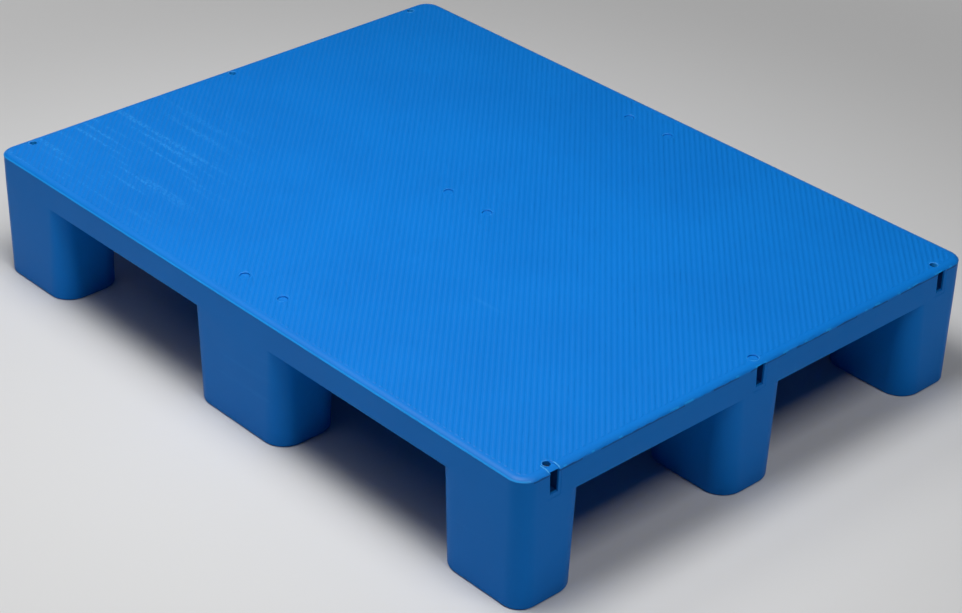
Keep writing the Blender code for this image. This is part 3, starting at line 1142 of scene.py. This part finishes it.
    def hole_profile(self, bore: float, headed: bool) -> list[Point]:
        """Make the outline of a hole through the deck's skin.

        Args:
            bore: The radius of its lower part.
            headed: Whether a head sits in it.

        Returns:
            Pairs of radius and height.
        """
        mouth = self.head_hole if headed else self.pin_hole
        seat = [(bore, self.head_seat), (mouth, self.head_seat)] if headed else []
        return [(bore, self.layout.ceiling - 0.0015), *seat, (mouth, self.top - self.rim),
                (mouth + self.rim + self.rim_flare, self.layout.height + self.past)]

    def strip_cutter(self) -> bpy.types.Object:
        """Make the cutter of the sunken strip between the near right pin hole and its slot.

        Returns:
            The cutter.
        """
        bm = bmesh.new()
        y = self.layout.row_y(Row.FRONT)
        start, end = self.layout.pin_x - self.past, self.layout.length / 2
        rings = []
        for step in range(self.strip_steps + 1):
            x = start + (end + 0.0004 - start) * step / self.strip_steps
            low = self.crown_level(end - x) - self.strip_depth
            high = low + self.strip_depth + self.strip_room
            rings.append(across_x(x, y, self.strip_half, self.strip_half + self.strip_flare, low, high))
        skin(bm, rings)
        return cutter("strip_tool", bm)

    def make_treads(self) -> bpy.types.Object:
        """Make the slanting treads, trimmed to the field and clear of the plugs.

        Returns:
            The treads, one object.
        """
        half_x = self.layout.length / 2 - self.field_margin
        half_y = self.layout.width / 2 - self.field_margin
        count = int((half_x + half_y - 0.004) * 2 / (self.tread_pitch * math.sqrt(2)))
        treads = tread_tree().grow("treads", DECK_FINISH, Half_Length=half_x, Half_Width=half_y,
                                   Pitch=self.tread_pitch, Count=count, Level=self.top,
                                   Crest=self.layout.height - self.top)
        crest = self.layout.height + 0.0001
        field = Plan(-half_x, half_x, -half_y, half_y, (self.field_radius,) * 4)
        levels = ((0.0, self.top - 0.0012), (0.0, self.top), (self.tread_ramp, crest))
        bm = bmesh.new()
        skin(bm, [lift(field.outline(inset, 8), z) for inset, z in levels])
        keep = cutter("field_tool", bm)
        bm = bmesh.new()
        for _, way, y in self.layout.tube_lines():
            for x, edge in ((self.layout.stop_x, self.plug_ring), (self.layout.pin_x, self.pin_ring)):
                turned(bm, way.side * x, y,
                       [(edge, self.top - 0.002), (edge, self.top), (edge + self.tread_ramp, crest)])
        drop = cutter("ring_tool", bm)
        boolean(treads, keep, "INTERSECT")
        boolean(treads, drop)
        settle(treads, keep, drop)
        dress(treads, DECK_FINISH)
        smooth(treads, TREAD_SHARPNESS)
        return treads

    def rib_sets(self) -> list[RibSet]:
        """Plan the ribs over the bays, the walls over the legs' sides and the ribs over the legs.

        Returns:
            The sets, of one pitch each.
        """
        layout = self.layout
        half_x, half_y = layout.length / 2, layout.width / 2
        inner = 2 * self.skirt_wall - 2 * self.bite
        x_bay = (layout.middle_leg_length / 2, half_x - layout.end_leg_length)
        y_bay = (layout.leg_width / 2, half_y - layout.leg_width)
        sets = []
        for axis, (start, stop), reach in ((Axis.ACROSS, x_bay, layout.width - inner),
                                           (Axis.ALONG, y_bay, layout.length - inner)):
            pitch = (stop - start + self.rib) / self.bay_cells
            ribs = (start + pitch - self.rib / 2, pitch, self.bay_cells - 1, self.rib, self.rib_bottom)
            walls = (start - self.wall / 2, stop - start + self.wall, 2, self.wall, layout.deck_bottom)
            for first, step, count, thickness, bottom in (ribs, walls):
                sets += [RibSet(axis, sign * first, sign * step, count, reach, thickness, bottom)
                         for sign in (-1, 1)]
        centre = layout.column_x(Column.RIGHT)
        sets.append(RibSet(Axis.ACROSS, -centre, centre, 3, layout.width - inner, self.rib, self.rib_bottom))
        return sets

    def make_ribs(self) -> list[bpy.types.Object]:
        """Make the rib grid under the deck.

        Returns:
            One object for each set.
        """
        tree = rib_tree()
        ribs = []
        for number, rules in enumerate(self.rib_sets()):
            across = rules.axis is Axis.ACROSS
            sign = -1 if across else 1
            foot = rules.bottom + (self.across_lift if across else self.along_lift)
            bars = tree.grow(f"ribs_{number}", DECK_FINISH, First=sign * rules.first,
                             Pitch=sign * rules.pitch, Count=rules.count, Length=rules.reach,
                             Thickness=rules.thickness, Bottom=foot, Top=self.rib_top, Turn=rules.axis.value)
            soften(bars)
            settle(bars)
            dress(bars, DECK_FINISH)
            smooth(bars)
            ribs.append(bars)
        return ribs

    def make_beams(self) -> bpy.types.Object:
        """Make the six hollow beams that the tubes lie in, and the posts over the legs, with painted shade
        inside the channels.

        Returns:
            The beams, each blind at its inner end.
        """
        layout = self.layout
        bm = bmesh.new()
        blind = layout.stop_x - self.stop_room
        reach = layout.length / 2 - self.skirt_wall + self.bite
        low, half = self.rib_bottom - self.beam_drop, layout.channel_half
        sections = ((blind - self.beam_end_wall, layout.beam_half, low, self.rib_top),
                    (reach, layout.beam_half, low, self.rib_top),
                    (reach, half, layout.channel_floor, layout.ceiling),
                    (blind, half, layout.channel_floor, layout.ceiling))
        for _, way, y in layout.tube_lines():
            skin(bm, [across_x(way.side * x, y, h, h, floor, roof) for x, h, floor, roof in sections])
        self.add_posts(bm)
        beams = make_object("beams", bm)
        tool = self.beam_hole_cutter()
        boolean(beams, tool)
        soften(beams)
        settle(beams, tool)
        dress(beams, DECK_FINISH)
        # Painted shade: faces inside each channel get the dark channel finish.
        beams.data.materials.append(CHANNEL_SHADE_FINISH.material())
        for face in beams.data.polygons:
            if layout.off_row(face.center.y) < half + 0.0002:
                face.material_index = int(face.center.z > layout.channel_floor - 0.0002)
        smooth(beams)
        return beams

    def add_posts(self, bm: bmesh.types.BMesh) -> None:
        """Add a short post where two walls cross over each round corner of a leg.

        Args:
            bm: The mesh to add to.
        """
        layout = self.layout
        plans = [layout.leg_plan(row, column) for row in Row for column in Column]
        corners = [(x, y, to_x, to_y) for plan in plans for x, to_x in ((plan.x0, 1), (plan.x1, -1))
                   for y, to_y in ((plan.y0, 1), (plan.y1, -1))]
        for x, y, to_x, to_y in corners:
            if abs(x) > layout.length / 2 - 0.001 and abs(y) > layout.width / 2 - 0.001:
                continue
            x0, x1 = sorted((x + to_x * self.post_near, x + to_x * self.post_far))
            y0, y1 = sorted((y + to_y * self.post_near, y + to_y * self.post_far))
            post = [(x0, y0), (x1, y0), (x1, y1), (x0, y1)]
            skin(bm, [lift(post, layout.deck_bottom + self.post_lift), lift(post, self.rib_top)])

    def beam_hole_cutter(self) -> bpy.types.Object:
        """Make the cutter that opens the beams' tops under the deck holes.

        Returns:
            The cutter.
        """
        bm = bmesh.new()
        layout = self.layout
        profile = [(0.0052, layout.ceiling - 0.001), (0.0052, 0.139)]
        for _, way, y in layout.tube_lines():
            for x in (layout.stop_x, layout.pin_x):
                turned(bm, way.side * x, y, profile)
        return cutter("beam_hole_tool", bm)

    def make_burrs(self) -> bpy.types.Object:
        """Make the drilled burrs round the holes and along the sunken strip, given a pale colour as a
        painted highlight.

        Returns:
            The burrs, one object.
        """
        bm = bmesh.new()
        layout = self.layout
        for row, way, y in layout.tube_lines():
            pin_hole = self.head_hole if layout.headed(row, way) else self.pin_hole
            for x, hole, (gap, thick, share) in ((layout.pin_x, pin_hole, self.pin_burr),
                                                 (layout.stop_x, self.head_hole, self.plug_burr)):
                self.add_burr_ring(bm, way.side * x, y, hole + gap, thick, share)
        y = layout.row_y(Row.FRONT)
        start = layout.pin_x - self.bead_start
        for side in (-1, 1):
            line = [(start + self.bead_length * step / self.bead_steps, y + side * self.bead_offset)
                    for step in range(self.bead_steps + 1)]
            self.add_burr_line(bm, line, self.bead_half)
        return finished("burrs", bm, BURR_HIGHLIGHT_FINISH, BURR_SHARPNESS)

    def add_burr_ring(self, bm: bmesh.types.BMesh, x: float, y: float, radius: float, thick: float,
                      share: float) -> None:
        """Add a low, uneven ring of pushed-up plastic.

        Args:
            bm: The mesh to add to.
            x: The hole's place along X.
            y: The hole's place along Y.
            radius: The ring's radius.
            thick: Half the ring's width.
            share: The part of the ring that is left, from 0 to 1.
        """
        start = 2.4 + 6.0 * noise.noise(Vector((x * 31.0, y * 17.0, 0.5)))
        turns = [start + 2 * math.pi * share * step / self.burr_steps for step in range(self.burr_steps + 1)]
        self.add_burr_line(bm, [(x + radius * math.cos(t), y + radius * math.sin(t)) for t in turns], thick)

    def add_burr_line(self, bm: bmesh.types.BMesh, path: list[Point], thick: float) -> None:
        """Add a low, uneven bead of pushed-up plastic along a path on the deck.

        Args:
            bm: The mesh to add to.
            path: Points in plan.
            thick: Half the bead's width.
        """
        rings = []
        last = len(path) - 1
        for number, (x, y) in enumerate(path):
            ahead, behind = path[min(number + 1, last)], path[max(number - 1, 0)]
            along = Vector((ahead[0] - behind[0], ahead[1] - behind[1])).normalized()
            side = Vector((-along.y, along.x))
            taper = min(1.0, (min(number, last - number) + 0.4) / 3)
            swell = taper * (0.75 + 0.5 * noise.noise(Vector((x * 900.0, y * 900.0, 1.7))))
            level = self.crown_level(self.layout.length / 2 - abs(x))
            crest = min(self.layout.height, level + self.burr_crest * swell)
            half = thick * max(swell, 0.15)
            ring = []
            for across, up in BEAD_SECTION:
                z = level - self.burr_root if up < 0 else level + (crest - level) * up
                ring.append((x + side.x * half * across, y + side.y * half * across, z))
            rings.append(ring)
        skin(bm, rings)


# ---- legs


@dataclass
class Leg:
    """One leg cup: thin walls, rounded foot, cross ribs inside and a drain hole."""

    row: Row
    column: Column
    layout: Layout = LAYOUT
    wall: float = 0.004
    floor: float = 0.004
    draft: float = 0.0005
    foot_radius: float = 0.0025
    rib: float = 0.0025
    drain_radius: float = 0.004
    foot_steps: int = 6
    floor_fillet: float = 0.003
    rib_draft: float = 0.0006
    bite: float = 0.001

    @property
    def node(self) -> str:
        """Return the name of the node that this leg stands for."""
        return f"leg_{self.row.value}_{self.column.value}"

    def ring(self, extra: float, z: float) -> list[Place]:
        """Make the outline at a height, drafted inwards and rounder towards the floor.

        Args:
            extra: How far it is moved inwards besides the draft.
            z: The height.

        Returns:
            The points of the outline.
        """
        foot = 1 - z / self.layout.deck_bottom
        plan = self.layout.leg_plan(self.row, self.column, foot)
        return lift(plan.outline(self.draft * foot + extra, 12), z)

    def build(self) -> bpy.types.Object:
        """Build the leg.

        Returns:
            The finished leg, one object.
        """
        rings = []
        for step in range(self.foot_steps + 1):
            angle = math.pi / 2 * step / self.foot_steps
            extra = self.foot_radius * (1 - math.sin(angle))
            rings.append(self.ring(extra, self.foot_radius * (1 - math.cos(angle))))
        top = self.layout.deck_bottom
        rings += [self.ring(0, top), self.ring(self.wall, top),
                  self.ring(self.wall, self.floor + self.floor_fillet),
                  self.ring(self.wall + self.floor_fillet, self.floor)]
        bm = bmesh.new()
        skin(bm, rings)
        hole = bmesh.new()
        x, y = self.layout.column_x(self.column), self.layout.row_y(self.row)
        turned(hole, x, y, [(self.drain_radius + 0.002, -0.001), (self.drain_radius + 0.0006, 0.0004),
                            (self.drain_radius, 0.001), (self.drain_radius, 0.010)])
        tool = cutter("drain_tool", hole)
        parts = [make_object("cup", bm), self.make_ribs()]
        for part in parts:
            boolean(part, tool)
            settle(part)
            dress(part, LEG_FINISH)
            smooth(part)
        bpy.data.objects.remove(tool)
        return join(f"{self.node}_shell", parts)

    def make_ribs(self) -> bpy.types.Object:
        """Make the two ribs that cross inside the cup, as one solid.

        Returns:
            The ribs, which are thinner at the top.
        """
        x, y = self.layout.column_x(self.column), self.layout.row_y(self.row)
        plan = self.layout.leg_plan(self.row, self.column)
        inner = self.wall - self.bite
        x0, x1, y0, y1 = plan.x0 + inner, plan.x1 - inner, plan.y0 + inner, plan.y1 - inner
        rings = []
        for z, t in ((self.floor - self.bite, self.rib / 2 + self.rib_draft),
                     (self.layout.deck_bottom - 0.0002, self.rib / 2)):
            cross = [(x0, y - t), (x - t, y - t), (x - t, y0), (x + t, y0), (x + t, y - t), (x1, y - t),
                     (x1, y + t), (x + t, y + t), (x + t, y1), (x - t, y1), (x - t, y + t), (x0, y + t)]
            rings.append(lift(cross, z))
        bm = bmesh.new()
        skin(bm, rings)
        return make_object("cross_ribs", bm)


# ---- tubes and plugs


@dataclass
class Tube:
    """One drawn steel tube, sawn at both ends."""

    row: Row
    end: End
    layout: Layout = LAYOUT
    width: float = 0.010
    depth: float = 0.020
    wall: float = 0.001
    corner: float = 0.0015
    inner_end: float = 0.032
    outer_end: float = 0.3853
    burr: float = 0.0002
    air: float = 0.0003

    @property
    def node(self) -> str:
        """Return the name of the node that this tube stands for."""
        return f"steel_tube_{self.row.value}_{self.end.value}"

    def build(self) -> bpy.types.Object:
        """Build the tube.

        Returns:
            The finished tube.
        """
        y = self.layout.row_y(self.row)
        z = self.layout.channel_floor + self.air + self.depth / 2
        section = Plan(y - self.width / 2, y + self.width / 2, z - self.depth / 2, z + self.depth / 2,
                       (self.corner,) * 4)
        near, far = self.inner_end, self.outer_end
        inside = self.wall - self.burr / 2
        steps = [(near, self.burr), (near + self.burr, 0.0), (far - self.burr, 0.0), (far, self.burr),
                 (far, inside), (far - self.burr, self.wall), (near + self.burr, self.wall), (near, inside)]
        rings = [[(self.end.side * x, across, up) for across, up in section.outline(inset, 6)]
                 for x, inset in steps]
        bm = bmesh.new()
        skin(bm, rings, closed=True)
        return finished(f"{self.node}_drawn", bm, STEEL_FINISH)


class PinKind(Enum):
    """What keeps a tube in: a plug with a head, a bare pin, or a pin with a head."""

    STOP_PLUG = "stop_plug"
    BARE_PIN = "lock_pin"
    HEADED_PIN = "headed_lock_pin"


@dataclass
class Pin:
    """One moulded plug or pin that a tube is trapped by."""

    row: Row
    end: End
    kind: PinKind
    layout: Layout = LAYOUT
    foot: float = 0.1148
    plug_shank: float = 0.0025
    pin_shank: float = 0.0032
    head: float = 0.0047
    head_top: float = 0.1388
    head_thick: float = 0.0013
    pin_top: float = 0.1365
    lead: float = 0.0006
    pin_chamfer: float = 0.0005
    head_chamfer: float = 0.0002
    head_round: float = 0.0004

    @property
    def node(self) -> str:
        """Return the name of the node that this pin stands for."""
        kind = "stop_plug" if self.kind is PinKind.STOP_PLUG else "lock_pin"
        return f"{kind}_{self.row.value}_{self.end.value}"

    def profile(self) -> list[Point]:
        """Make the turned outline, with a gate dimple in the top.

        Returns:
            Pairs of radius and height.
        """
        shank = self.plug_shank if self.kind is PinKind.STOP_PLUG else self.pin_shank
        points = [(shank - self.lead, self.foot), (shank, self.foot + self.lead)]
        if self.kind is PinKind.BARE_PIN:
            top = self.pin_top
            return points + [(shank, top - self.pin_chamfer), (shank - self.pin_chamfer, top),
                             (0.0009, top), (0.0006, top - 0.0003)]
        top, under = self.head_top, self.head_top - self.head_thick
        return points + [(shank, under), (self.head - self.head_chamfer, under),
                         (self.head, under + self.head_chamfer), (self.head, top - self.head_round),
                         (self.head - self.head_round, top), (0.0011, top - 0.0001), (0.0007, top - 0.0004)]

    def build(self) -> bpy.types.Object:
        """Build the pin.

        Returns:
            The finished pin.
        """
        x = self.layout.stop_x if self.kind is PinKind.STOP_PLUG else self.layout.pin_x
        bm = bmesh.new()
        turned(bm, self.end.side * x, self.layout.row_y(self.row), self.profile())
        finishes = {PinKind.STOP_PLUG: PLUG_FINISH, PinKind.BARE_PIN: PIN_SHADE_FINISH,
                    PinKind.HEADED_PIN: HEADED_PIN_FINISH}
        return finished(f"{self.node}_turned", bm, finishes[self.kind])


# ---- studio


@dataclass(frozen=True)
class SoftBox:
    """A square soft light: where it hangs, the point that it faces, its side and its watts."""

    name: str
    place: Place
    aim: Place
    size: float
    power: float

    def add(self) -> None:
        """Add the light to the scene."""
        data = bpy.data.lights.new(self.name, "AREA")
        data.shape = "SQUARE"
        data.size = self.size
        data.energy = self.power
        light = bpy.data.objects.new(self.name, data)
        light.location = self.place
        facing = Vector(self.aim) - Vector(self.place)
        light.rotation_euler = facing.to_track_quat("-Z", "Y").to_euler()
        bpy.context.scene.collection.objects.link(light)


MIDDLE = (0.0, 0.0, 0.1)
SOFT_BOXES = (
    SoftBox("over_box", (0.1, -0.4, 1.5), (0.0, -0.2, 0.1), 0.6, 14.3),
    SoftBox("right_box", (1.3, -0.1, 2.2), MIDDLE, 0.9, 14.3),
    SoftBox("front_box", (0.0, -1.5, 2.2), MIDDLE, 0.9, 2.1),
    SoftBox("left_box", (-0.6, -0.1, 1.3), (-0.35, -0.1, 0.1), 0.5, 2.7),
    SoftBox("corner_box", (-0.5, -0.5, 1.2), (-0.35, -0.3, 0.1), 0.5, 1.0),
    SoftBox("sheen_box", (-3.5, 1.0, 2.0), MIDDLE, 1.2, 2.5),
)


@dataclass
class Studio:
    """The camera, the pale floor and the soft lights."""

    eye: Place = (1.63466, -1.51431, 1.35384)
    right: Place = (0.67671, 0.73587, 0.02368)
    up: Place = (-0.39400, 0.33479, 0.85597)
    ahead: Place = (-0.62195, 0.58857, -0.51649)
    lens: float = 93.70
    shift: Point = (-0.0074, 0.0058)
    floor_radius: float = 14.0
    # Painted shade and glow: the floor is darker near the middle, round the pallet, and lighter and glowing
    # far out.
    near_shade_grey: float = 0.74
    far_grey: float = 0.97
    far_glow: float = 0.3
    far_span: Point = (0.7, 1.6)
    glow_span: Point = (0.8, 1.9)
    fibre_scale: float = 40.0
    fibre_share: float = 0.03
    fibre_colour: Colour = (0.6, 0.6, 0.6)
    room_light: float = 0.01

    def build(self) -> None:
        """Set up the whole studio."""
        self.add_camera()
        self.add_floor()
        for box in SOFT_BOXES:
            box.add()
        world = bpy.data.worlds.new("studio")
        world.use_nodes = True
        back = world.node_tree.nodes["Background"]
        back.inputs["Color"].default_value = (1.0, 1.0, 1.0, 1.0)
        back.inputs["Strength"].default_value = self.room_light
        bpy.context.scene.world = world
        bpy.context.scene.view_settings.view_transform = "Standard"

    def add_camera(self) -> None:
        """Add the camera at the viewing angle that the pallet is shown from."""
        data = bpy.data.cameras.new("view")
        data.sensor_width = 36.0
        data.lens = self.lens
        data.shift_x, data.shift_y = self.shift
        data.clip_end = 100.0
        camera = bpy.data.objects.new("view", data)
        back = -Vector(self.ahead)
        turn = Matrix((self.right, self.up, back)).transposed().to_4x4()
        camera.matrix_world = Matrix.Translation(self.eye) @ turn
        bpy.context.scene.collection.objects.link(camera)
        bpy.context.scene.camera = camera

    def add_floor(self) -> None:
        """Add a wide round floor of matt paper, with painted shade near the middle and a painted glow far
        out.
        """
        bm = bmesh.new()
        bmesh.ops.create_circle(bm, cap_ends=True, segments=96, radius=self.floor_radius)
        floor = make_object("paper_floor", bm)
        material, graph, shader, place = new_material("paper_with_painted_shade_and_glow")
        reach = graph.add("ShaderNodeVectorMath", {0: place}, operation="LENGTH").outputs["Value"]
        far = graph.window(reach, *self.far_span)
        # Painted shade near the pallet, fading to near-white paper far out, where the paper also glows.
        paper = graph.blend(far, (self.near_shade_grey,) * 3, (self.far_grey,) * 3)
        soft = graph.product(graph.noise(place, self.fibre_scale, 3.0), self.fibre_share)
        graph.feed(shader, {"Base Color": graph.blend(soft, paper, self.fibre_colour),
                            "Emission Color": (1.0, 1.0, 1.0, 1.0),
                            "Emission Strength": graph.window(reach, *self.glow_span, 0.0, self.far_glow),
                            "Roughness": 0.95, "Specular IOR Level": 0.05})
        floor.data.materials.append(material)


# ---- main


def main() -> None:
    """Build every piece and the studio, and report each piece."""
    logging.basicConfig(level=logging.INFO, format="%(name)s: %(message)s")
    place_piece(Deck().build(), DECK_FINISH.slot, "deck_body")
    for row in Row:
        for column in Column:
            leg = Leg(row, column)
            place_piece(leg.build(), LEG_FINISH.slot, leg.node)
        for end in End:
            tube = Tube(row, end)
            place_piece(tube.build(), STEEL_FINISH.slot, tube.node)
            stop = Pin(row, end, PinKind.STOP_PLUG)
            place_piece(stop.build(), PLUG_FINISH.slot, stop.node)
            lock = Pin(row, end, PinKind.HEADED_PIN if LAYOUT.headed(row, end) else PinKind.BARE_PIN)
            place_piece(lock.build(), PIN_SHADE_FINISH.slot, lock.node)
    Studio().build()


if __name__ == "__main__":
    main()
